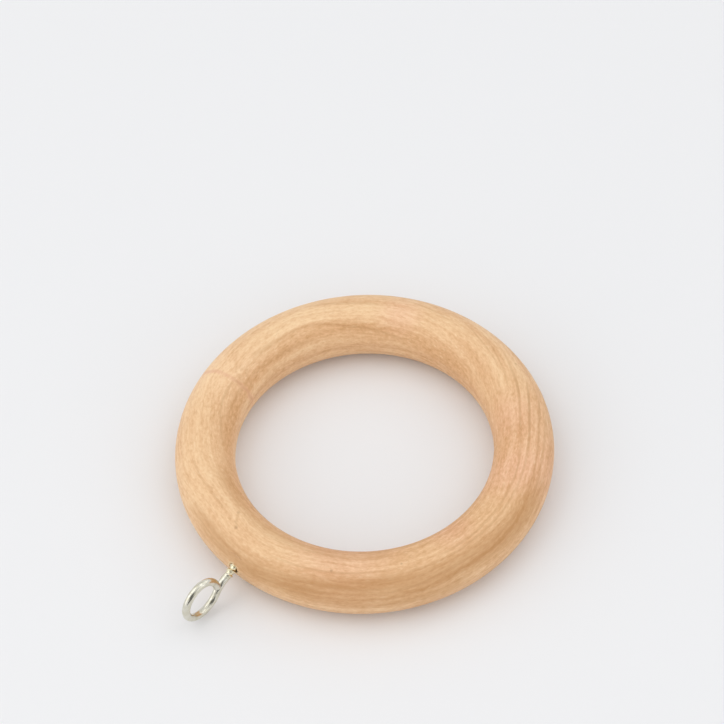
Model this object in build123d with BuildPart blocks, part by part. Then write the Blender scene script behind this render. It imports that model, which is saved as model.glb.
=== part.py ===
from build123d import *
import os
from math import atan2, cos, degrees, radians, sin, tan

# A wooden curtain ring: one turned ring that slides on a pole, and one bent wire screw eye
# that takes the curtain hook. Millimetres and degrees.
# The ring lies flat. +Z is its axis, the origin is the middle of its hole, half-way through
# its thickness, and the screw eye stands out of the rim along -Y.

# Turned ring
ring_outer_diameter = 82.0
pole_hole_diameter = 56.0
board_thickness = 13.0
# the round-over is a little larger than half the board, so the round section keeps a narrow
# flat land on each face and a straight land round the hole, where the passes meet
round_over_radius = 6.55

ring_outer_radius = ring_outer_diameter / 2
pole_hole_radius = pole_hole_diameter / 2
section_centre_radius = ring_outer_radius - round_over_radius
section_width = ring_outer_radius - pole_hole_radius

# Screw eye, bent from one length of wire
wire_diameter = 1.7
shank_lean = 18.0
shank_rise = 0.4
embedded_length = 9.5
point_length = 3.0
point_tip_diameter = 0.3
neck_start = 3.0
neck_bend_radius = 5.5
neck_bend = 38.5
eye_centre_radius = 4.75
eye_sweep = 222.0
closing_centre_radius = 4.0
closing_sweep = 107.0
closing_tilt = 9.0
cut_end_chamfer = 0.12

wire_radius = wire_diameter / 2
point_taper = degrees(atan2(wire_radius - point_tip_diameter / 2, point_length))

# Pilot hole for the screw eye, blind, with its mouth broken open by the thread
pilot_clearance_depth = 0.6
drill_point_angle = 118.0
mouth_diameter = 2.3
mouth_angle = 90.0
mouth_overrun = 1.0

pilot_depth = embedded_length + pilot_clearance_depth
mouth_depth = (mouth_diameter / 2 - wire_radius) / tan(radians(mouth_angle / 2))
drill_point_length = wire_radius / tan(radians(drill_point_angle / 2))

# The eye's own plane stands square to the ring: x runs out along the shank, y to the side
# that the neck bends to, and z is the eye's axis
shank_direction = Vector(0, -cos(radians(shank_lean)), -sin(radians(shank_lean)))
shank_root = Vector(0, -ring_outer_radius, shank_rise)
eye_plane = Plane(origin=shank_root, x_dir=shank_direction, z_dir=(1, 0, 0))

# Ring: a round section with its narrow lands, turned about the axis
with BuildPart() as wooden_ring:
    with BuildSketch(Plane.XZ) as section:
        with Locations((section_centre_radius, 0)):
            Circle(round_over_radius)
        with Locations((ring_outer_radius - section_width / 2, 0)):
            Rectangle(section_width, board_thickness, mode=Mode.INTERSECT)
    revolve(axis=Axis.Z)
    # pilot hole: broken mouth, plain bore and the cone that the drill's point leaves
    with BuildSketch(eye_plane) as pilot_profile:
        with BuildLine():
            Polyline(
                (mouth_overrun, 0),
                (mouth_overrun, mouth_diameter / 2),
                (0, mouth_diameter / 2),
                (-mouth_depth, wire_radius),
                (-pilot_depth, wire_radius),
                (-pilot_depth - drill_point_length, 0),
                close=True,
            )
        make_face()
    revolve(axis=Axis(shank_root, shank_direction), mode=Mode.SUBTRACT)
wooden_ring.part.label = "wooden_ring"

# Line of the wire: straight shank, neck bent to one side, then most of the eye in one plane
with BuildLine(eye_plane) as wire_line:
    shank = Line((point_length - embedded_length, 0), (neck_start, 0))
    neck = JernArc(shank @ 1, shank % 1, neck_bend_radius, neck_bend)
    eye = JernArc(neck @ 1, neck % 1, eye_centre_radius, -eye_sweep)

# The last of the eye is bent a little tighter and tilts out of that plane, so the cut end lies
# beside the neck, just clear
closing_normal = eye_plane.z_dir.rotate(Axis(eye @ 1, eye % 1), -closing_tilt)
with BuildLine(Plane(origin=eye @ 1, x_dir=eye % 1, z_dir=closing_normal)) as closing_line:
    closing = JernArc(eye @ 1, eye % 1, closing_centre_radius, -closing_sweep)

# Screw eye: the wire swept along its line, and a gimlet point on its buried end
with BuildPart() as screw_eye:
    with BuildSketch(Plane(origin=shank @ 0, z_dir=shank % 0)):
        Circle(wire_radius)
    sweep(path=[shank, neck, eye, closing])
    cut_face = screw_eye.faces().sort_by_distance(closing @ 1)[0]
    chamfer(cut_face.edges(), cut_end_chamfer)
    with BuildSketch(Plane(origin=shank @ 0, z_dir=-shank_direction)):
        Circle(wire_radius)
    extrude(amount=point_length, taper=point_taper)
screw_eye.part.label = "screw_eye"

os.makedirs("parts", exist_ok=True)
export_step(wooden_ring.part, "parts/wooden_ring.step")
export_step(screw_eye.part, "parts/screw_eye.step")

wire_length = sum(piece.length for piece in (shank, neck, eye, closing))
print(f"wire length {wire_length:.2f} mm, eye volume {screw_eye.part.volume:.2f} mm3")
print(f"middle of the eye {eye.arc_center}")
print(f"ring volume {wooden_ring.part.volume:.1f} mm3")
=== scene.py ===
from math import cos, pi, radians, sin, tan

import bpy
import numpy as np
from mathutils import Matrix, Vector, noise


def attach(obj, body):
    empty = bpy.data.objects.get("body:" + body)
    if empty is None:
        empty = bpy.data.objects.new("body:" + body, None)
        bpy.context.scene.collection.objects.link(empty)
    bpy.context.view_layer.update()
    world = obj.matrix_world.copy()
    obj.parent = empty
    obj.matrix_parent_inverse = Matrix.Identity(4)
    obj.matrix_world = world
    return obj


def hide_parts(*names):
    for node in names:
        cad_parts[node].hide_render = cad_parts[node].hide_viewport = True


# A turned wooden curtain ring with its wire screw eye, lying on a pale floor.
# Sizes are in millimetres and are turned into metres when a mesh is made.
# A place on the ring has two angles. Theta, or turn, runs round the ring from +X. Phi, or
# section turn, runs round its section from the outer rim over the top face to the hole.

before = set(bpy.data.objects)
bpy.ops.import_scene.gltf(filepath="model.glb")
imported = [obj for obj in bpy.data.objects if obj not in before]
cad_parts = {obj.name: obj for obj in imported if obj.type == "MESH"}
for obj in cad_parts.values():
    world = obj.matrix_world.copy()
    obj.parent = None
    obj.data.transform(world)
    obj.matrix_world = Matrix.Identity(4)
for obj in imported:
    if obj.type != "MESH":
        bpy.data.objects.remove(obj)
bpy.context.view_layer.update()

MM = 0.001

# Ring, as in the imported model
RIM_RADIUS = 41.0
HOLE_RADIUS = 28.0
HALF_THICKNESS = 6.5
ROUND_OVER = 6.55
SECTION_CENTRE = RIM_RADIUS - ROUND_OVER

# Screw eye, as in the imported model
WIRE_RADIUS = 0.85
SHANK_LEAN = radians(18.0)
SHANK_ROOT = Vector((0.0, -RIM_RADIUS, 0.4))
SHANK_AXIS = Vector((0.0, -cos(SHANK_LEAN), -sin(SHANK_LEAN)))
EMBEDDED_LENGTH = 9.5
POINT_LENGTH = 3.0
NECK_START = 3.0
NECK_RADIUS = 5.5
NECK_BEND = 38.5
EYE_RADIUS = 4.75
EYE_SWEEP = 222.0
CLOSING_RADIUS = 4.0
CLOSING_SWEEP = 107.0
CLOSING_TILT = 9.0
CUT_CHAMFER = 0.12

# Thread, which only this model has: its radii, where it ends outside the wood and how it
# starts at the tip; the crest's width and the starting phase are shares of the pitch
PITCH = 1.27
THREAD_ROOT = 0.80
THREAD_CREST = 1.11
THREAD_END = 1.90
THREAD_FADE = 0.40
THREAD_RISE = 0.80
THREAD_AT_TIP = 0.25
CREST_WIDTH = 0.17
CREST_PHASE = 0.93


def smooth_step(low, high, value):
    t = np.clip((value - low) / (high - low), 0.0, 1.0)
    return t * t * (3.0 - 2.0 * t)


def wrapped(angle):
    """The same angle between minus pi and pi."""
    return (angle + pi) % (2 * pi) - pi


def make_piece(name, points, faces, node, slot, material):
    """A mesh in metres that rides on the root body and stands for a CAD node."""
    mesh = bpy.data.meshes.new(name)
    mesh.from_pydata([tuple(p) for p in np.asarray(points) * MM], [], faces)
    mesh.validate()
    mesh.shade_smooth()
    mesh.materials.append(material)
    piece = bpy.data.objects.new(name, mesh)
    bpy.context.scene.collection.objects.link(piece)
    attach(piece, "root")
    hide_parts(node)


# Ring surface

# how softly the round of the section runs into its narrow lands, and the least divisor
LAND_EASE = 0.012
LEAST = 1e-6

# unevenness that sanding leaves: depth, and broad and small waves per millimetre
SANDING_DEPTH = 0.035
BROAD_WAVES = 0.09
SMALL_WAVES = 0.27
SMALL_SHARE = 0.5

# small pits in the wood: theta and phi in degrees, half length, half width and depth
PITS = (
    (-58.4, 75.4, 0.55, 0.30, 0.10),
    (-34.6, 84.0, 0.45, 0.28, 0.09),
    (-100.2, 99.7, 0.60, 0.35, 0.04),
    (-97.8, 82.9, 0.45, 0.30, 0.03),
    (-95.8, 76.1, 0.70, 0.35, 0.09),
    (71.0, 58.0, 0.50, 0.30, 0.07),
    (148.0, 40.0, 0.55, 0.30, 0.08),
    (24.0, -52.0, 0.60, 0.30, 0.08),
    (-140.0, -70.0, 0.50, 0.30, 0.08),
)
PIT_STEEPNESS = 1.5


def soft_min(a, b):
    """The lower of two distances, with the corner between them eased."""
    return -LAND_EASE * np.logaddexp(-a / LAND_EASE, -b / LAND_EASE)


def section_reach(phi):
    """Distance from the section's centre to its surface: a round with narrow lands."""
    to_face = HALF_THICKNESS / np.maximum(np.abs(np.sin(phi)), LEAST)
    to_hole = (SECTION_CENTRE - HOLE_RADIUS) / np.maximum(-np.cos(phi), LEAST)
    return soft_min(soft_min(np.full_like(phi, ROUND_OVER), to_face), to_hole)


def points_at(theta, phi, reach):
    """Points at the two angles and at a distance from the section's centre."""
    radial = SECTION_CENTRE + reach * np.cos(phi)
    return np.stack([radial * np.cos(theta), radial * np.sin(theta), reach * np.sin(phi)], -1)


def ring_points(theta, phi):
    """Surface points of the wood, with its unevenness and pits."""
    reach = section_reach(phi)
    waves = np.array([
        noise.noise(Vector(p) * BROAD_WAVES) + SMALL_SHARE * noise.noise(Vector(p) * SMALL_WAVES)
        for p in points_at(theta, phi, reach)
    ])
    sunk = SANDING_DEPTH * np.clip(0.5 + 0.5 * waves, 0.0, 1.0)
    radial = SECTION_CENTRE + reach * np.cos(phi)
    for pit_theta, pit_phi, half_long, half_wide, depth in PITS:
        along = wrapped(theta - radians(pit_theta)) * radial / half_long
        across = wrapped(phi - radians(pit_phi)) * ROUND_OVER / half_wide
        sunk += depth * np.exp(-(along ** 2 + across ** 2) * PIT_STEEPNESS)
    return points_at(theta, phi, reach - sunk)


# Grid of the ring. A square window of it, round the screw eye, is filled with loops of points
# that end in the mouth of the pilot hole and run down its wall to the drill's point

COLUMNS_OUTSIDE = 500
ROWS_OUTSIDE = 112
WINDOW_CELLS = 34
WINDOW_HALF = 3.4

# where the shank's axis leaves the wood, and directions across it
EXIT_THETA = -pi / 2
EXIT_PHI = 0.061
EXIT_SIDE = np.array((1.0, 0.0, 0.0))
EXIT_UP = np.array((0.0, -sin(SHANK_LEAN), cos(SHANK_LEAN)))
ROOT = np.array(SHANK_ROOT)
AXIS = np.array(SHANK_AXIS)
SURFACE_STEPS = 30

# loops from the square window to a circle, then on to the mouth
ROUNDED_RADIUS = 3.0
ROUNDING_SHARES = (0.35, 0.7, 1.0)
TORN_RADIUS = 2.88
TORN_LOOPS = 15
MOUTH_RADIUS = 1.15

# pilot hole, which the thread all but fills: the crushed edge of its mouth as shares of the
# edge's depth with their radii, its wall, and the drill's cone as shares of the radius
THREAD_CLEARANCE = 0.01
PILOT_RADIUS = THREAD_CREST + THREAD_CLEARANCE
CRUSHED_DEPTH = 0.45
CRUSHED_EDGE = ((0.35, 1.14), (0.75, 1.13), (1.0, PILOT_RADIUS))
WALL_START = 1.6
WALL_LOOPS = 8
PILOT_DEPTH = EMBEDDED_LENGTH + 0.6
DRILL_ANGLE = radians(118.0)
DRILL_POINT = PILOT_RADIUS / tan(DRILL_ANGLE / 2)
CONE_SHARES = (0.5, 0.15)

# fibres that the thread lifted: height, how far out they start and where they are highest, and
# tufts round the mouth as strength, fineness and place in the noise
LIP_HEIGHT = 0.20
LIP_REACH = 2.5
LIP_TOP = MOUTH_RADIUS + 0.1
TUFT_MEAN = 0.6
TUFTS = ((0.7, 2.2, 4.0), (0.5, 6.0, 9.0))
TUFT_LIMITS = (0.1, 1.2)


def on_surface(points):
    """Moves points along the shank's axis until they lie on the round of the rim."""
    moved = points.copy()
    for _ in range(SURFACE_STEPS):
        rho = np.hypot(moved[:, 0], moved[:, 1])
        off = np.hypot(rho - SECTION_CENTRE, moved[:, 2]) - ROUND_OVER
        moved -= off[:, None] * AXIS
    return moved


def ring_angles(points):
    rho = np.hypot(points[:, 0], points[:, 1])
    theta = np.arctan2(points[:, 1], points[:, 0])
    return theta, np.arctan2(points[:, 2], rho - SECTION_CENTRE)


def torn_lip(points):
    """Fibres that the thread lifted, highest just outside the mouth and uneven round it."""
    offset = points - ROOT
    offset = offset - np.outer(offset @ AXIS, AXIS)
    distance = np.linalg.norm(offset, axis=1)
    bearing = np.arctan2(offset @ EXIT_UP, offset @ EXIT_SIDE)
    tufts = np.full(len(points), TUFT_MEAN)
    for strength, fineness, place in TUFTS:
        samples = [Vector((fineness * cos(b), fineness * sin(b), place)) for b in bearing]
        tufts += strength * np.array([noise.noise(sample) for sample in samples])
    height = LIP_HEIGHT * np.clip(tufts, *TUFT_LIMITS) * smooth_step(LIP_REACH, LIP_TOP, distance)
    theta, phi = ring_angles(points)
    normal = np.stack([np.cos(phi) * np.cos(theta), np.cos(phi) * np.sin(theta), np.sin(phi)], -1)
    return points + normal * height[:, None]


def grid_angles(middle, half_window, cells_outside):
    """Angles once round: even outside the window, then even across it."""
    outside = np.linspace(middle + half_window, middle + 2 * pi - half_window, cells_outside + 1)
    across = np.linspace(middle - half_window, middle + half_window, WINDOW_CELLS + 1)
    return np.concatenate([outside, across[1:-1]])


def grid_round_window(thetas, phis):
    """Points and faces of the ring outside the window, and the number of each grid point."""
    columns, rows = len(thetas), len(phis)
    kept = np.ones((columns, rows), bool)
    kept[COLUMNS_OUTSIDE + 1:, ROWS_OUTSIDE + 1:] = False
    number = np.full((columns, rows), -1)
    number[kept] = np.arange(kept.sum())
    grid_theta, grid_phi = np.meshgrid(thetas, phis, indexing="ij")
    points = ring_points(grid_theta[kept], grid_phi[kept])
    faces = []
    for i in range(columns):
        i2 = (i + 1) % columns
        for j in range(rows):
            if i >= COLUMNS_OUTSIDE and j >= ROWS_OUTSIDE:
                continue
            j2 = (j + 1) % rows
            corners = ((i, j), (i2, j), (i2, j2), (i, j2))
            faces.append(tuple(int(number[corner]) for corner in corners))
    return points, faces, number


def window_border(columns, rows):
    """Grid places once round the edge of the window."""
    border = [(i, ROWS_OUTSIDE) for i in range(COLUMNS_OUTSIDE, columns)]
    border += [(columns, j) for j in range(ROWS_OUTSIDE, rows)]
    border += [(i, rows) for i in range(columns, COLUMNS_OUTSIDE, -1)]
    border += [(COLUMNS_OUTSIDE, j) for j in range(rows, ROWS_OUTSIDE, -1)]
    return [(i % columns, j % rows) for i, j in border]


class Skin:
    """A surface that grows by loops of points, each joined to the one before."""

    def __init__(self, points, faces, loop):
        self.points = [points]
        self.faces = faces
        self.loop = loop
        self.total = len(points)

    def add_loop(self, new_points):
        count = len(self.loop)
        new = list(range(self.total, self.total + count))
        for k in range(count):
            k2 = (k + 1) % count
            self.faces.append((self.loop[k], self.loop[k2], new[k2], new[k]))
        self.points.append(new_points)
        self.loop = new
        self.total += count

    def close(self, tip):
        """Ends the last loop in one point."""
        count = len(self.loop)
        for k in range(count):
            self.faces.append((self.loop[k], self.loop[(k + 1) % count], self.total))
        self.points.append(tip[None])


def add_pilot_hole(skin, circle):
    """Goes from the lip down the crushed edge and the wall to the tip of the drill's cone."""
    mouth_rise = (skin.points[-1] - ROOT) @ AXIS
    for share, radius in CRUSHED_EDGE:
        along = mouth_rise + (-CRUSHED_DEPTH - mouth_rise) * share
        skin.add_loop(ROOT + radius * circle + along[:, None] * AXIS)
    for depth in np.linspace(WALL_START, PILOT_DEPTH, WALL_LOOPS):
        skin.add_loop(ROOT + PILOT_RADIUS * circle - depth * AXIS)
    for share in CONE_SHARES:
        depth = PILOT_DEPTH + (1 - share) * DRILL_POINT
        skin.add_loop(ROOT + share * PILOT_RADIUS * circle - depth * AXIS)
    skin.close(ROOT - (PILOT_DEPTH + DRILL_POINT) * AXIS)


def build_ring():
    thetas = grid_angles(EXIT_THETA, WINDOW_HALF / RIM_RADIUS, COLUMNS_OUTSIDE)
    phis = grid_angles(EXIT_PHI, WINDOW_HALF / ROUND_OVER, ROWS_OUTSIDE)
    points, faces, number = grid_round_window(thetas, phis)
    border = window_border(len(thetas), len(phis))
    skin = Skin(points, faces, [int(number[place]) for place in border])

    border_theta = np.array([wrapped(thetas[i]) for i, j in border])
    border_phi = np.array([wrapped(phis[j]) for i, j in border])
    across = (border_theta - EXIT_THETA) * RIM_RADIUS
    bearing = np.arctan2((border_phi - EXIT_PHI) * ROUND_OVER, across)
    circle = np.outer(np.cos(bearing), EXIT_SIDE) + np.outer(np.sin(bearing), EXIT_UP)

    round_theta, round_phi = ring_angles(on_surface(ROOT + ROUNDED_RADIUS * circle))
    for share in ROUNDING_SHARES:
        theta = border_theta + (round_theta - border_theta) * share
        phi = border_phi + (round_phi - border_phi) * share
        skin.add_loop(torn_lip(ring_points(theta, phi)))
    for radius in np.linspace(TORN_RADIUS, MOUTH_RADIUS, TORN_LOOPS):
        theta, phi = ring_angles(on_surface(ROOT + radius * circle))
        skin.add_loop(torn_lip(ring_points(theta, phi)))
    add_pilot_hole(skin, circle)
    return np.concatenate(skin.points), skin.faces


# Screw eye

# points round the wire, and steps along each stretch of it
AROUND = 56
THREAD_STEPS = 250
SHANK_STEPS = 5
NECK_STEPS = 24
EYE_STEPS = 110
CLOSING_STEPS = 54

# gimlet point, and the slightly hollow face that cutters leave, as shares of the wire's radius
# with their depths
TIP_RADIUS = 0.12
TIP_ROUNDING = 0.03
POINT_FULLNESS = 0.8
CUT_FACE = ((0.8, 0.02), (0.5, 0.05), (0.2, 0.06))


class Wire:
    """Walks along the wire's line and keeps its frame, which turns with each bend."""

    def __init__(self, start, tangent, side):
        self.place = start.copy()
        self.tangent = tangent.copy()
        self.side = side.copy()
        self.travelled = -EMBEDDED_LENGTH
        self.stations = []
        self.record()

    def record(self):
        up = self.tangent.cross(self.side)
        self.stations.append((self.travelled, self.place.copy(), self.side.copy(), up))

    def straight(self, length, steps):
        for _ in range(steps):
            self.place += self.tangent * (length / steps)
            self.travelled += length / steps
            self.record()

    def bend(self, axis, radius, degrees_turned, steps):
        turn = radians(degrees_turned)
        hand = 1 if turn > 0 else -1
        centre = self.place + axis.cross(self.tangent) * radius * hand
        step = Matrix.Rotation(turn / steps, 3, axis)
        for _ in range(steps):
            self.place = centre + step @ (self.place - centre)
            self.tangent = (step @ self.tangent).normalized()
            self.side = (step @ self.side).normalized()
            self.travelled += radius * abs(turn) / steps
            self.record()


def wire_outline(travelled, bearing):
    """Radius of the wire at a place along and round it: point, thread, then plain wire."""
    from_tip = travelled + EMBEDDED_LENGTH
    taper = np.clip(from_tip / POINT_LENGTH, 0.0, 1.0) ** POINT_FULLNESS
    fade = 1.0 - smooth_step(THREAD_END - THREAD_FADE, THREAD_END + THREAD_FADE, travelled)
    core = WIRE_RADIUS + (THREAD_ROOT - WIRE_RADIUS) * fade
    crest = (THREAD_CREST - THREAD_ROOT) * fade * smooth_step(0.0, THREAD_RISE, from_tip)
    phase = (travelled / PITCH - bearing / (2 * pi) - CREST_PHASE) % 1.0
    ridge = np.exp(-((phase - 0.5) / CREST_WIDTH) ** 2)
    grown = THREAD_AT_TIP + (1.0 - THREAD_AT_TIP) * taper
    return TIP_RADIUS + (core - TIP_RADIUS) * taper + crest * ridge * grown


def ring_of_points(place, side, up, radius, bearing):
    reach_side = np.outer(radius * np.cos(bearing), np.array(side))
    reach_up = np.outer(radius * np.sin(bearing), np.array(up))
    return np.array(place) + reach_side + reach_up


def closed_tube(rings, first_end, last_end):
    """Points and faces of a tube through rings of points, closed by a point at each end."""
    count = len(rings)
    faces = []
    for k in range(count - 1):
        for i in range(AROUND):
            a = k * AROUND + i
            b = k * AROUND + (i + 1) % AROUND
            faces.append((a, b, b + AROUND, a + AROUND))
    first = count * AROUND
    last_ring = first - AROUND
    for i in range(AROUND):
        i2 = (i + 1) % AROUND
        faces.append((i2, i, first))
        faces.append((last_ring + i, last_ring + i2, first + 1))
    ends = np.array([tuple(first_end), tuple(last_end)])
    return np.concatenate([*rings, ends]), faces


def build_eye():
    across = Vector((1.0, 0.0, 0.0))
    start = SHANK_ROOT - SHANK_AXIS * EMBEDDED_LENGTH
    wire = Wire(start, SHANK_AXIS, across)
    wire.straight(EMBEDDED_LENGTH + THREAD_END + THREAD_FADE, THREAD_STEPS)
    wire.straight(NECK_START - THREAD_END - THREAD_FADE, SHANK_STEPS)
    wire.bend(across, NECK_RADIUS, NECK_BEND, NECK_STEPS)
    wire.bend(across, EYE_RADIUS, -EYE_SWEEP, EYE_STEPS)
    closing_axis = Matrix.Rotation(radians(-CLOSING_TILT), 3, wire.tangent) @ across
    wire.bend(closing_axis, CLOSING_RADIUS, -CLOSING_SWEEP, CLOSING_STEPS)

    bearing = np.arange(AROUND) * 2 * pi / AROUND
    rings = []
    for travelled, place, side, up in wire.stations[:-1]:
        radius = wire_outline(np.full(AROUND, travelled), bearing)
        rings.append(ring_of_points(place, side, up, radius, bearing))
    # cut end: a small chamfer, then the hollow face
    _, place, side, up = wire.stations[-1]
    chamfer_start = place - wire.tangent * CUT_CHAMFER
    rings.append(ring_of_points(chamfer_start, side, up, WIRE_RADIUS, bearing))
    rings.append(ring_of_points(place, side, up, WIRE_RADIUS - CUT_CHAMFER, bearing))
    for share, sunk in CUT_FACE:
        hollow = place - wire.tangent * sunk
        rings.append(ring_of_points(hollow, side, up, WIRE_RADIUS * share, bearing))
    return closed_tube(rings, start - SHANK_AXIS * TIP_ROUNDING, hollow)


# Material helpers

def new_material(name):
    material = bpy.data.materials.new(name)
    material.use_nodes = True
    tree = material.node_tree
    tree.nodes.clear()
    output = tree.nodes.new("ShaderNodeOutputMaterial")
    shader = tree.nodes.new("ShaderNodeBsdfPrincipled")
    tree.links.new(shader.outputs[0], output.inputs["Surface"])
    return material, Graph(tree), shader


class Graph:
    """Short ways to add nodes. A value may be a number, a colour or another node's output."""

    def __init__(self, tree):
        self.tree = tree

    def feed(self, socket, value):
        if isinstance(value, bpy.types.NodeSocket):
            self.tree.links.new(value, socket)
        else:
            socket.default_value = value

    def math(self, operation, first, second=0.0, third=0.0, clamp=False):
        made = self.tree.nodes.new("ShaderNodeMath")
        made.operation = operation
        made.use_clamp = clamp
        for socket, value in zip(made.inputs, (first, second, third)):
            self.feed(socket, value)
        return made.outputs[0]

    def vector(self, operation, first, second=(0.0, 0.0, 0.0), scale=None):
        made = self.tree.nodes.new("ShaderNodeVectorMath")
        made.operation = operation
        self.feed(made.inputs[0], first)
        self.feed(made.inputs[1], second)
        if scale is not None:
            self.feed(made.inputs["Scale"], scale)
        scalar = operation in ("DOT_PRODUCT", "LENGTH", "DISTANCE")
        return made.outputs["Value" if scalar else "Vector"]

    def combine(self, x, y, z):
        made = self.tree.nodes.new("ShaderNodeCombineXYZ")
        for socket, value in zip(made.inputs, (x, y, z)):
            self.feed(socket, value)
        return made.outputs[0]

    def separate(self, vector):
        made = self.tree.nodes.new("ShaderNodeSeparateXYZ")
        self.feed(made.inputs[0], vector)
        return made.outputs

    def noise(self, vector, scale=1.0, detail=2.0, roughness=0.5, fourth=None):
        """Soft noise about 0.5, in three dimensions or in four."""
        made = self.tree.nodes.new("ShaderNodeTexNoise")
        made.noise_dimensions = "3D" if fourth is None else "4D"
        self.feed(made.inputs["Vector"], vector)
        if fourth is not None:
            self.feed(made.inputs["W"], fourth)
        for name, value in (("Scale", scale), ("Detail", detail), ("Roughness", roughness)):
            made.inputs[name].default_value = value
        return made.outputs["Fac"]

    def ripple(self, vector, **settings):
        """The same noise about 0."""
        return self.math("SUBTRACT", self.noise(vector, **settings), 0.5)

    def ramp(self, value, stops):
        """Colour that runs through a few named stops."""
        made = self.tree.nodes.new("ShaderNodeValToRGB")
        self.feed(made.inputs["Fac"], value)
        elements = made.color_ramp.elements
        while len(elements) < len(stops):
            elements.new(0.5)
        for element, (place, colour) in zip(elements, stops):
            element.position = place
            element.color = colour
        return made.outputs["Color"]

    def curve(self, value, points):
        """Smooth curve through points whose both values lie between 0 and 1."""
        made = self.tree.nodes.new("ShaderNodeFloatCurve")
        self.feed(made.inputs["Value"], value)
        line = made.mapping.curves[0]
        line.points[0].location = points[0]
        line.points[1].location = points[-1]
        for point in points[1:-1]:
            line.points.new(*point)
        made.mapping.update()
        return made.outputs["Value"]

    def step(self, value, low, high, out_low=0.0, out_high=1.0):
        """Smooth change from one level to another as a value goes from low to high."""
        made = self.tree.nodes.new("ShaderNodeMapRange")
        made.interpolation_type = "SMOOTHSTEP"
        for name, setting in (("Value", value), ("From Min", low), ("From Max", high),
                              ("To Min", out_low), ("To Max", out_high)):
            self.feed(made.inputs[name], setting)
        return made.outputs["Result"]

    def fade(self, value, full, gone, level=1.0):
        """A level that falls smoothly to nothing as a value goes from full to gone."""
        return self.step(value, full, gone, level, 0.0)

    def mix(self, factor, first, second, blend="MIX"):
        made = self.tree.nodes.new("ShaderNodeMix")
        made.data_type = "RGBA"
        made.blend_type = blend
        made.clamp_factor = True
        self.feed(made.inputs[0], factor)
        self.feed(made.inputs[6], first)
        self.feed(made.inputs[7], second)
        return made.outputs[2]

    def tint(self, colour, added, mask, strength):
        """Lays a second colour over the first where a mask shows it."""
        return self.mix(self.math("MULTIPLY", mask, strength), colour, added)

    def bump(self, height, strength, distance):
        made = self.tree.nodes.new("ShaderNodeBump")
        made.inputs["Strength"].default_value = strength
        made.inputs["Distance"].default_value = distance
        self.feed(made.inputs["Height"], height)
        return made.outputs["Normal"]

    def position(self):
        """Place on the object, in millimetres."""
        made = self.tree.nodes.new("ShaderNodeTexCoord")
        return self.vector("SCALE", made.outputs["Object"], scale=1.0 / MM)


# Wood

# colours from the darkest grain to the palest streak
GRAIN_STOPS = (
    (0.00, (0.480, 0.236, 0.088, 1.0)),
    (0.25, (0.625, 0.342, 0.150, 1.0)),
    (0.50, (0.745, 0.452, 0.238, 1.0)),
    (0.75, (0.840, 0.560, 0.320, 1.0)),
    (1.00, (0.910, 0.655, 0.395, 1.0)),
)
LINE_COLOUR = (0.490, 0.242, 0.086, 1.0)
# pale flecks, which also stand in for painted glints on the crest
FLECK_AND_GLINT_COLOUR = (0.960, 0.770, 0.510, 1.0)

# mean tone, how much the painted light makes the ring paler towards the side the light falls from, and how
# much the tone changes on the hole's wall
MEAN_TONE = 0.605
PAINTED_LIGHT_SIDE = radians(186.0)
PAINTED_LIGHT_GAIN = 0.12
INNER_WALL_TONE = -0.12

# streaks of the grain: length and width in mm, detail, roughness, shift and weight
GRAIN_LAYERS = (
    (60.0, 3.4, 1.0, 0.50, 0.0, 0.50),
    (34.0, 1.5, 2.0, 0.55, 7.3, 0.60),
    (20.0, 0.62, 2.0, 0.60, 21.1, 0.34),
    (5.0, 0.34, 2.0, 0.60, 3.9, 0.22),
    (1.1, 0.50, 2.0, 0.65, 30.7, 0.84),
)
CLOUD_WEIGHT = 0.34

# how far the grain has risen in the section, in degrees, at angles round the ring, the most
# that it may rise, and how far it wanders from that
GRAIN_RISE = (
    (-180, -46), (-160, -42), (-130, -26), (-107, -12), (-75, -8), (-40, -2), (0, 9),
    (36, 20), (50, 17), (64, 4), (90, -20), (118, -36), (150, -47), (180, -46),
)
MOST_RISE = 60.0
GRAIN_WANDER = 30.0
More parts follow.
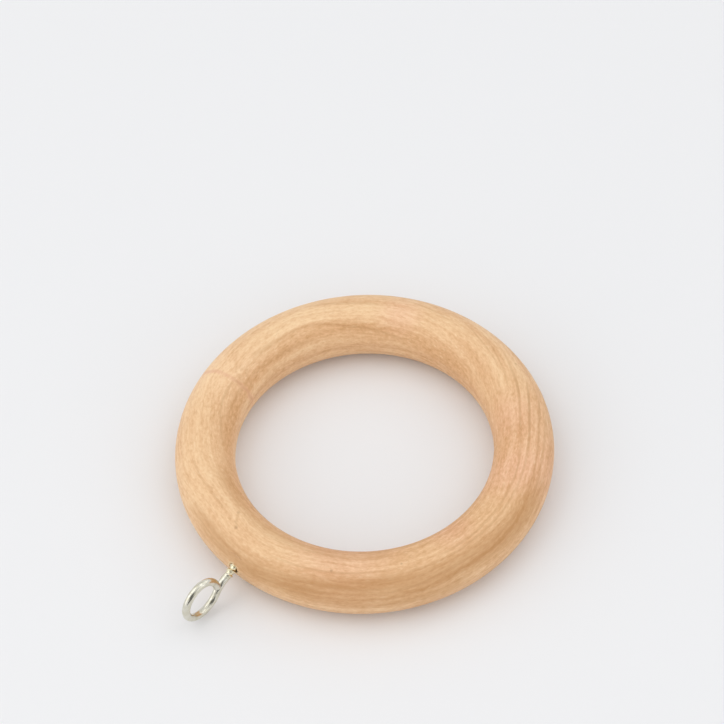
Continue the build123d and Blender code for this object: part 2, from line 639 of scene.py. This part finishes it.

# lines and bands of darker grain, some broad ones partly painted shade: half width in mm, strength, and
# points as the angle round the ring and the angle round the section
GRAIN_LINES_AND_SHADE_BANDS = (
    # outer wall: broad bands of painted shade where the wall turns downward, with darker grain
    (2.30, 0.36, ((-112, 27), (-72, 35), (-48, 45), (-22, 44), (4, 42), (30, 33))),
    (2.30, 0.24, ((-88, 30), (-72, 35), (-48, 45), (-22, 44), (4, 42), (22, 34))),
    (1.90, 0.26, ((-76, 34), (-48, 45), (-22, 42), (4, 39), (14, 37))),
    (0.80, 0.15, ((-76, 30), (-62, 38), (-48, 47), (-36, 47), (-20, 41), (0, 41), (10, 45), (22, 38))),
    (0.70, 0.20, ((-74, 36), (-66, 43), (-58, 50), (-45, 56), (-30, 58))),
    (1.60, 0.34, ((-118, 32), (-96, 34), (-84, 28), (-60, 16), (-36, 11), (-12, 9))),
    # long lines that arch over on the right
    (0.26, 0.40, ((-24, 76), (-8, 80), (0, 83), (12, 87), (25, 91), (38, 96), (48, 95), (56, 88), (70, 72))),
    (0.26, 0.34, ((-36, 65), (-20, 68), (-8, 72), (4, 74), (16, 77), (33, 80), (44, 79), (55, 70), (66, 53))),
    (0.28, 0.38, ((30, 81), (40, 80), (48, 77), (56, 69), (64, 57))),
    (0.32, 0.30, ((12, 53), (24, 58), (33, 61), (40, 61), (46, 58), (50, 55), (60, 30))),
    (0.36, 0.36, ((14, 38), (22, 43), (31, 49), (38, 48), (45, 43), (52, 34))),
    (0.28, 0.42, ((54, 92), (60, 84), (66, 79), (72, 72), (80, 60))),
    (0.18, 0.34, ((60, 103), (66, 95), (74, 86), (80, 78), (90, 62))),
    (0.18, 0.30, ((68, 102), (76, 91), (84, 84), (90, 76), (98, 62))),
    (0.20, 0.26, ((94, 86), (104, 77), (112, 68), (120, 58))),
    # left half and inner wall
    (0.30, 0.20, ((-132, 68), (-122, 72), (-114, 80), (-102, 85))),
    (0.24, 0.42, ((-82, 69), (-60, 72), (-48, 74), (-34, 77))),
    (0.34, 0.36, ((112, 154), (122, 145), (130, 136), (138, 130), (146, 120), (153, 113), (166, 109))),
    (0.42, 0.26, ((122, 87), (134, 82), (140, 78), (146, 71), (156, 60))),
    (0.55, 0.26, ((150, 142), (162, 140), (172, 138), (180, 137))),
    (0.55, 0.24, ((-180, 137), (-172, 137), (-164, 133), (-150, 136))),
    (0.55, 0.24, ((158, 114), (166, 113), (174, 112), (180, 109))),
    (0.32, 0.30, ((-168, 112), (-152, 113), (-146, 120), (-134, 130))),
    (1.00, 0.14, ((-156, 128), (-145, 130), (-130, 131), (-108, 124))),
    # a broad band of painted shade on the hole's wall, with darker grain
    (1.50, 0.40, ((-126, 120), (-104, 118), (-84, 116), (-58, 115), (-34, 117))),
)
# shares of the half width at which a line starts to soften and is gone, and the degrees round
# the ring over which it fades in and out
LINE_CORE = 0.2
LINE_EDGE = 1.8
LINE_FADE = 8.0

# pinker wood, the first patch of it painted shade on the near inner wall, and paler wood that is painted
# sheen on the crest: middle as angles round the ring and round the section, reach in mm
# the first patch is painted shade on the inner wall; the others are pinker wood
PINK_AND_SHADOW_PATCHES = (
    ((-55, 112), 15.0), ((-12, 118), 7.0), ((22, 112), 10.0), ((48, 112), 10.0),
    ((118, 100), 7.0), ((30, 30), 13.0),
)
PINK_AND_SHADOW_TINT = (1.02, 0.94, 1.06, 1.0)
# painted sheen: the crest whitened where the highlight falls
PAINTED_SHEEN_PATCHES = (((24, 86), 13.0), ((-168, 84), 12.0))
PAINTED_SHEEN_TINT = (1.10, 1.14, 1.22, 1.0)
PATCH_STRENGTH = 0.55

# marks of this one piece: a line across it, a smudge, a scratch, and darkening in the pits
CROSS_ANGLE = radians(-166.2)
CROSS_COLOUR = (0.760, 0.425, 0.265, 1.0)
CROSS_WANDER = 1.3
SMUDGE_PLACE = (-30.6, -5.7, 5.2)
SCRATCH_ENDS = ((-100.5, 102.0), (-96.0, 75.0))
PIT_COLOUR = (0.330, 0.165, 0.070, 1.0)
PIT_DARKENING_BY_DEPTH = 4.5

# torn fibres at the mouth of the pilot hole, and its wall in light and in shade
TORN_COLOUR = (0.930, 0.760, 0.480, 1.0)
WALL_LIT = (0.860, 0.680, 0.420, 1.0)
WALL_SHADED = (0.110, 0.055, 0.025, 1.0)


def on_ring(turn, section_turn):
    """Surface point at an angle round the ring and an angle round the section."""
    place = ring_points(np.array([radians(turn)]), np.array([radians(section_turn)]))[0]
    return tuple(float(part) for part in place)


class RingSpace:
    """Node outputs for a place on the ring: the angle round it and round its section."""

    def __init__(self, graph):
        self.graph = graph
        self.place = graph.position()
        x, y, z = graph.separate(self.place)
        flat = graph.combine(x, y, 0.0)
        outward = graph.math("SUBTRACT", graph.vector("LENGTH", flat), SECTION_CENTRE)
        self.round = graph.vector("NORMALIZE", flat)
        self.turn = graph.math("DEGREES", graph.math("ARCTAN2", y, x))
        self.share = graph.math("MULTIPLY_ADD", self.turn, 1 / 360.0, 0.5)
        self.section_turn = graph.math("DEGREES", graph.math("ARCTAN2", z, outward))
        # the grain rises and falls on its way round
        rise = self.along_ring(GRAIN_RISE, span=MOST_RISE)
        level = graph.math("SUBTRACT", self.section_turn, rise)
        level = graph.math("MULTIPLY_ADD", graph.ripple(self.place, scale=0.05), GRAIN_WANDER, level)
        level = graph.math("RADIANS", level)
        self.level = (graph.math("COSINE", level), graph.math("SINE", level))

    def along_ring(self, points, span):
        """Smooth value through points given at angles round the ring, within plus or minus span."""
        scaled = [((turn + 180.0) / 360.0, 0.5 + value / (2.0 * span)) for turn, value in points]
        return self.graph.math("MULTIPLY_ADD", self.graph.curve(self.share, scaled), 2.0 * span, -span)

    def streaks(self, length, width, detail=2.0, roughness=0.5, shift=0.0):
        """Noise about 0, drawn out along the grain; length and width of its features in mm."""
        graph = self.graph
        east, north, _ = graph.separate(self.round)
        across, above = self.level
        vector = graph.combine(
            graph.math("MULTIPLY_ADD", east, SECTION_CENTRE / length, shift),
            graph.math("MULTIPLY", north, SECTION_CENTRE / length),
            graph.math("MULTIPLY", across, ROUND_OVER / width),
        )
        fourth = graph.math("MULTIPLY", above, ROUND_OVER / width)
        return graph.ripple(vector, detail=detail, roughness=roughness, fourth=fourth)

    def line(self, half_width, points):
        """1 on a line across the unrolled ring and 0 beside it, fading at both ends."""
        graph = self.graph
        centre = self.along_ring(points, span=180.0)
        off = graph.math("ABSOLUTE", graph.math("SUBTRACT", self.section_turn, centre))
        reach = half_width / (ROUND_OVER * radians(1.0))
        on_line = graph.fade(off, full=LINE_CORE * reach, gone=LINE_EDGE * reach)
        start, end = points[0][0], points[-1][0]
        if start > -180:
            fade_in = graph.step(self.turn, start, start + LINE_FADE)
            on_line = graph.math("MULTIPLY", on_line, fade_in)
        if end < 180:
            fade_out = graph.fade(self.turn, full=end - LINE_FADE, gone=end)
            on_line = graph.math("MULTIPLY", on_line, fade_out)
        within = graph.math("COMPARE", self.turn, (start + end) / 2.0, (end - start) / 2.0)
        return graph.math("MULTIPLY", on_line, within)

    def near_segment(self, start, end):
        """Distance in mm to the straight line between two places."""
        graph = self.graph
        span = Vector(end) - Vector(start)
        from_start = graph.vector("SUBTRACT", self.place, start)
        share = graph.vector("DOT_PRODUCT", from_start, tuple(span / span.length_squared))
        share = graph.math("MULTIPLY", share, 1.0, clamp=True)
        nearest = graph.vector("SCALE", tuple(span), scale=share)
        return graph.vector("DISTANCE", from_start, nearest)


def wood_tone(graph, space):
    """Lightness of the wood from 0 to 1: painted light that makes one side of the ring paler, then grain from
    broad streaks down to single fibres.
    """
    # painted light: paler towards the side of the ring that the light falls from
    toward_painted_light = (cos(PAINTED_LIGHT_SIDE) / RIM_RADIUS, sin(PAINTED_LIGHT_SIDE) / RIM_RADIUS, 0.0)
    tone = graph.vector("DOT_PRODUCT", space.place, toward_painted_light)
    tone = graph.math("MULTIPLY_ADD", tone, PAINTED_LIGHT_GAIN, MEAN_TONE)
    inner_wall = graph.step(space.section_turn, low=92.0, high=140.0, out_high=INNER_WALL_TONE)
    tone = graph.math("ADD", tone, inner_wall)
    for *streak, weight in GRAIN_LAYERS:
        tone = graph.math("MULTIPLY_ADD", space.streaks(*streak), weight, tone)
    clouds = graph.ripple(space.place, scale=0.12)
    return graph.math("MULTIPLY_ADD", clouds, CLOUD_WEIGHT, tone)


def tint_shadow_and_sheen_patches(graph, space, colour):
    """Broad soft patches: pinker wood with one patch of painted shade, and painted sheen where the wood is
    paler.
    """
    for patches, shade in ((PINK_AND_SHADOW_PATCHES, PINK_AND_SHADOW_TINT), (PAINTED_SHEEN_PATCHES, PAINTED_SHEEN_TINT)):
        for angles, reach in patches:
            near = graph.vector("DISTANCE", space.place, on_ring(*angles))
            patch = graph.fade(near, full=0.1 * reach, gone=reach, level=PATCH_STRENGTH)
            colour = graph.mix(patch, colour, shade, "MULTIPLY")
    return colour


def pores_flecks_and_glints(graph, space, colour):
    """Short dark dashes, and pale ones between them: flecks in the wood that also stand in for painted
    glints.
    """
    dashes = space.streaks(length=1.5, width=0.34, detail=1.0, shift=13.0)
    pores = graph.step(dashes, low=0.10, high=0.22)
    # pale dashes: ray flecks and painted glints
    flecks_and_glints = graph.fade(dashes, full=-0.23, gone=-0.11)
    colour = graph.tint(colour, LINE_COLOUR, pores, strength=0.18)
    return graph.tint(colour, FLECK_AND_GLINT_COLOUR, flecks_and_glints, strength=0.24)


def grain_lines_and_shade_bands(graph, space, colour):
    """Lines and bands of darker grain, and broad bands of painted shade, stronger and weaker on their way."""
    unevenness = space.streaks(length=14.0, width=0.9, roughness=0.55, shift=11.9)
    patchy = graph.step(unevenness, low=-0.14, high=0.10, out_low=0.58)
    for half_width, strength, points in GRAIN_LINES_AND_SHADE_BANDS:
        on_line = graph.math("MULTIPLY", space.line(half_width, points), patchy)
        colour = graph.tint(colour, LINE_COLOUR, on_line, strength)
    return colour


def crossing_line(graph, space, colour):
    """A thin uneven line that crosses one side of the ring, darkest towards the hole."""
    place = space.place
    toward = graph.vector("DOT_PRODUCT", place, (cos(CROSS_ANGLE), sin(CROSS_ANGLE), 0.0))
    beside = graph.vector("DOT_PRODUCT", place, (-sin(CROSS_ANGLE), cos(CROSS_ANGLE), 0.0))
    wander = graph.math("MULTIPLY", graph.ripple(place, scale=0.35), CROSS_WANDER)
    beside = graph.math("ABSOLUTE", graph.math("ADD", beside, wander))
    broken = graph.step(graph.noise(place, scale=0.6), low=0.36, high=0.62, out_low=0.45)
    one_side = graph.math("MULTIPLY", graph.step(toward, low=0.0, high=5.0), broken)
    line = graph.math("MULTIPLY", graph.fade(beside, full=0.15, gone=0.85), one_side)
    colour = graph.tint(colour, CROSS_COLOUR, line, strength=0.62)
    near_hole = graph.step(space.section_turn, low=104.0, high=124.0)
    core = graph.math("MULTIPLY", graph.fade(beside, full=0.05, gone=0.45), one_side)
    core = graph.math("MULTIPLY", core, near_hole)
    return graph.tint(colour, LINE_COLOUR, core, strength=0.22)


def small_marks(graph, space, colour):
    """A faint smudge beside the line, a scratch, and each pit darker, the more so the deeper it is."""
    from_smudge = graph.vector("DISTANCE", space.place, SMUDGE_PLACE)
    broken = graph.step(graph.noise(space.place, scale=0.7, detail=3.0), low=0.38, high=0.62)
    smudge = graph.math("MULTIPLY", graph.fade(from_smudge, full=0.6, gone=3.6), broken)
    colour = graph.tint(colour, LINE_COLOUR, smudge, strength=0.30)

    scratch_start, scratch_end = (on_ring(*angles) for angles in SCRATCH_ENDS)
    from_scratch = space.near_segment(scratch_start, scratch_end)
    scratch = graph.fade(from_scratch, full=0.05, gone=0.55, level=0.20)
    colour = graph.mix(scratch, colour, LINE_COLOUR)

    for pit_turn, pit_section, half_long, _, depth in PITS:
        near = graph.vector("DISTANCE", space.place, on_ring(pit_turn, pit_section))
        pit_darkening = graph.fade(near, full=0.05, gone=0.9 * half_long, level=PIT_DARKENING_BY_DEPTH * depth)
        colour = graph.mix(pit_darkening, colour, PIT_COLOUR)
    return colour


def hole_in_wood(graph, space, colour):
    """Pale torn fibres round the mouth of the pilot hole, and its wall with painted shade on one side and a
    painted lit tone on the other.
    """
    from_mouth = graph.vector("DISTANCE", space.place, tuple(SHANK_ROOT))
    torn = graph.fade(from_mouth, full=MOUTH_RADIUS + 0.15, gone=MOUTH_RADIUS + 0.8)
    broken = graph.step(graph.noise(space.place, scale=1.6), low=0.36, high=0.58)
    torn = graph.math("MULTIPLY", torn, broken)
    colour = graph.tint(colour, TORN_COLOUR, torn, strength=0.60)
    # painted shade: the hole's wall is dark on the +X side, with a lit copy of it elsewhere
    side = graph.separate(space.place)[0]
    wall = graph.mix(graph.step(side, low=0.3, high=0.8), WALL_LIT, WALL_SHADED)
    inside = graph.fade(from_mouth, full=MOUTH_RADIUS - 0.08, gone=MOUTH_RADIUS + 0.03)
    return graph.mix(inside, colour, wall)


def wood_material():
    material, graph, shader = new_material("pale_hardwood")
    space = RingSpace(graph)
    colour = graph.ramp(wood_tone(graph, space), GRAIN_STOPS)
    for layer in (
        tint_shadow_and_sheen_patches, pores_flecks_and_glints, grain_lines_and_shade_bands, crossing_line, small_marks, hole_in_wood
    ):
        colour = layer(graph, space, colour)
    graph.feed(shader.inputs["Base Color"], colour)

    fibres = space.streaks(length=4.0, width=0.30, roughness=0.6, shift=5.2)
    rough = graph.step(fibres, low=-0.25, high=0.25, out_low=0.44, out_high=0.58)
    graph.feed(shader.inputs["Roughness"], rough)
    shader.inputs["Specular IOR Level"].default_value = 0.36
    graph.feed(shader.inputs["Normal"], graph.bump(fibres, strength=0.35, distance=0.08 * MM))
    return material


# Nickel plate, which is thinner and yellower on the thread

PLATE_BRIGHT = (0.745, 0.722, 0.632, 1.0)
PLATE_WARM = (0.660, 0.632, 0.510, 1.0)
PLATE_ON_THREAD = (0.83, 0.74, 0.49, 1.0)


def nickel_material():
    material, graph, shader = new_material("nickel_plate")
    place = graph.position()
    cloudy = graph.noise(place, scale=0.9, detail=3.0)
    colour = graph.mix(graph.step(cloudy, low=0.38, high=0.68), PLATE_BRIGHT, PLATE_WARM)
    from_wood = graph.vector("DISTANCE", place, tuple(SHANK_ROOT))
    on_thread = graph.fade(from_wood, full=1.2, gone=2.9, level=0.75)
    graph.feed(shader.inputs["Base Color"], graph.mix(on_thread, colour, PLATE_ON_THREAD))
    shader.inputs["Metallic"].default_value = 1.0
    rough = graph.step(cloudy, low=0.3, high=0.75, out_low=0.14, out_high=0.24)
    graph.feed(shader.inputs["Roughness"], rough)
    fine = graph.noise(place, scale=9.0)
    graph.feed(shader.inputs["Normal"], graph.bump(fine, strength=0.18, distance=0.02 * MM))
    return material


# Floor, seen as pale as the backdrop far away, where no lamp reaches

FLOOR_TONE = (0.838, 0.843, 0.857, 1.0)
FLOOR_HALF = 4000.0
FADE_START = 350.0
FADE_END = 1100.0
BACKDROP_LEVEL = 0.90
WHITE = (1.0, 1.0, 1.0, 1.0)


def seen_directly(graph):
    """1 where the camera looks, through clear things too, and 0 for light on the object."""
    rays = graph.tree.nodes.new("ShaderNodeLightPath").outputs
    return graph.math("MAXIMUM", rays["Is Camera Ray"], rays["Is Transmission Ray"])


def floor_material():
    material, graph, shader = new_material("pale_floor")
    shader.inputs["Base Color"].default_value = FLOOR_TONE
    shader.inputs["Roughness"].default_value = 0.85
    shader.inputs["Specular IOR Level"].default_value = 0.1
    far = graph.step(graph.vector("LENGTH", graph.position()), FADE_START, FADE_END)
    nodes = graph.tree.nodes
    pale = nodes.new("ShaderNodeEmission")
    pale.inputs["Color"].default_value = WHITE
    pale.inputs["Strength"].default_value = BACKDROP_LEVEL
    blend = nodes.new("ShaderNodeMixShader")
    graph.feed(blend.inputs[0], graph.math("MULTIPLY", far, seen_directly(graph)))
    graph.feed(blend.inputs[1], shader.outputs[0])
    graph.feed(blend.inputs[2], pale.outputs[0])
    graph.feed(nodes["Material Output"].inputs["Surface"], blend.outputs[0])
    return material


def build_floor():
    half = FLOOR_HALF * MM
    sides = ((-1, -1), (1, -1), (1, 1), (-1, 1))
    corners = [(x * half, y * half, -HALF_THICKNESS * MM) for x, y in sides]
    mesh = bpy.data.meshes.new("floor")
    mesh.from_pydata(corners, [], [(0, 1, 2, 3)])
    mesh.materials.append(floor_material())
    floor = bpy.data.objects.new("floor", mesh)
    bpy.context.scene.collection.objects.link(floor)


# Soft lamps, all aimed at the origin: name, place, width and height in metres, and power

LAMPS = (
    ("overhead", (0.0, 0.0, 1.2), 1.2, 1.2, 2.2),
    ("left", (-0.56, -0.50, 0.95), 1.4, 1.0, 3.2),
    ("behind", (0.30, 0.78, 0.95), 1.3, 1.0, 2.1),
    ("front_right", (0.90, 0.0, 0.75), 1.0, 1.0, 1.2),
    ("low_front", (-0.31, -0.95, 0.30), 1.8, 0.7, 2.5),
    ("low_right", (1.0, 0.1, 0.30), 0.8, 0.5, 0.70),
)


def area_light(name, location, width, height, power):
    data = bpy.data.lights.new(name, "AREA")
    data.shape = "RECTANGLE"
    data.size = width
    data.size_y = height
    data.energy = power
    data.color = WHITE[:3]
    lamp = bpy.data.objects.new(name, data)
    bpy.context.scene.collection.objects.link(lamp)
    lamp.location = location
    lamp.rotation_euler = (-Vector(location)).to_track_quat("-Z", "Y").to_euler()


# Room: even light, and what the metal mirrors of it, which is darker behind the viewer and
# overhead, where the lamps add to it

LIGHT_LEVEL = 0.61
MIRRORED_PALE = 0.84
MIRRORED_DARK = 0.16
MIRRORED_OVERHEAD = 0.68
ROOM_SIDE = (0.7002, -0.7002, 0.1392)


def build_world():
    world = bpy.data.worlds.new("studio")
    bpy.context.scene.world = world
    world.use_nodes = True
    graph = Graph(world.node_tree)
    nodes = graph.tree.nodes
    nodes.clear()
    direction = nodes.new("ShaderNodeTexCoord").outputs["Generated"]
    toward_room = graph.vector("DOT_PRODUCT", direction, ROOM_SIDE)
    mirrored = graph.step(
        toward_room, low=0.15, high=0.88, out_low=MIRRORED_PALE, out_high=MIRRORED_DARK
    )
    height = graph.separate(direction)[2]
    overhead = graph.step(height, low=0.45, high=0.80, out_low=1.0, out_high=MIRRORED_OVERHEAD)
    mirrored = graph.math("MULTIPLY", mirrored, overhead)

    seen_more = BACKDROP_LEVEL - LIGHT_LEVEL
    level = graph.math("MULTIPLY_ADD", seen_directly(graph), seen_more, LIGHT_LEVEL)
    mirrored_more = graph.math("SUBTRACT", mirrored, LIGHT_LEVEL)
    rays = nodes.new("ShaderNodeLightPath").outputs
    level = graph.math("MULTIPLY_ADD", rays["Is Glossy Ray"], mirrored_more, level)
    background = nodes.new("ShaderNodeBackground")
    background.inputs["Color"].default_value = WHITE
    graph.feed(background.inputs["Strength"], level)
    output = nodes.new("ShaderNodeOutputWorld")
    graph.feed(output.inputs["Surface"], background.outputs[0])


# Camera, in metres

CAMERA_PLACE = Vector((0.30050, -0.29842, 0.58352))
CAMERA_AIM = Vector((-0.01646, 0.01732, 0.0))
CAMERA_ROLL = radians(-3.562)
CAMERA_LENS = 165.77
CAMERA_SENSOR = 36.0
CAMERA_RANGE = 20.0


def build_camera():
    data = bpy.data.cameras.new("camera")
    data.sensor_width = CAMERA_SENSOR
    data.lens = CAMERA_LENS
    data.clip_end = CAMERA_RANGE
    camera = bpy.data.objects.new("camera", data)
    bpy.context.scene.collection.objects.link(camera)
    turn = (CAMERA_AIM - CAMERA_PLACE).to_track_quat("-Z", "Y").to_matrix()
    roll = Matrix.Rotation(CAMERA_ROLL, 3, "Z")
    camera.matrix_world = Matrix.Translation(CAMERA_PLACE) @ (turn @ roll).to_4x4()
    bpy.context.scene.camera = camera


make_piece("ring_wood", *build_ring(), "wooden_ring", "wood", wood_material())
make_piece("screw_eye_wire", *build_eye(), "screw_eye", "nickel", nickel_material())
build_floor()
for lamp in LAMPS:
    area_light(*lamp)
build_world()
build_camera()
bpy.context.scene.view_settings.view_transform = "Standard"
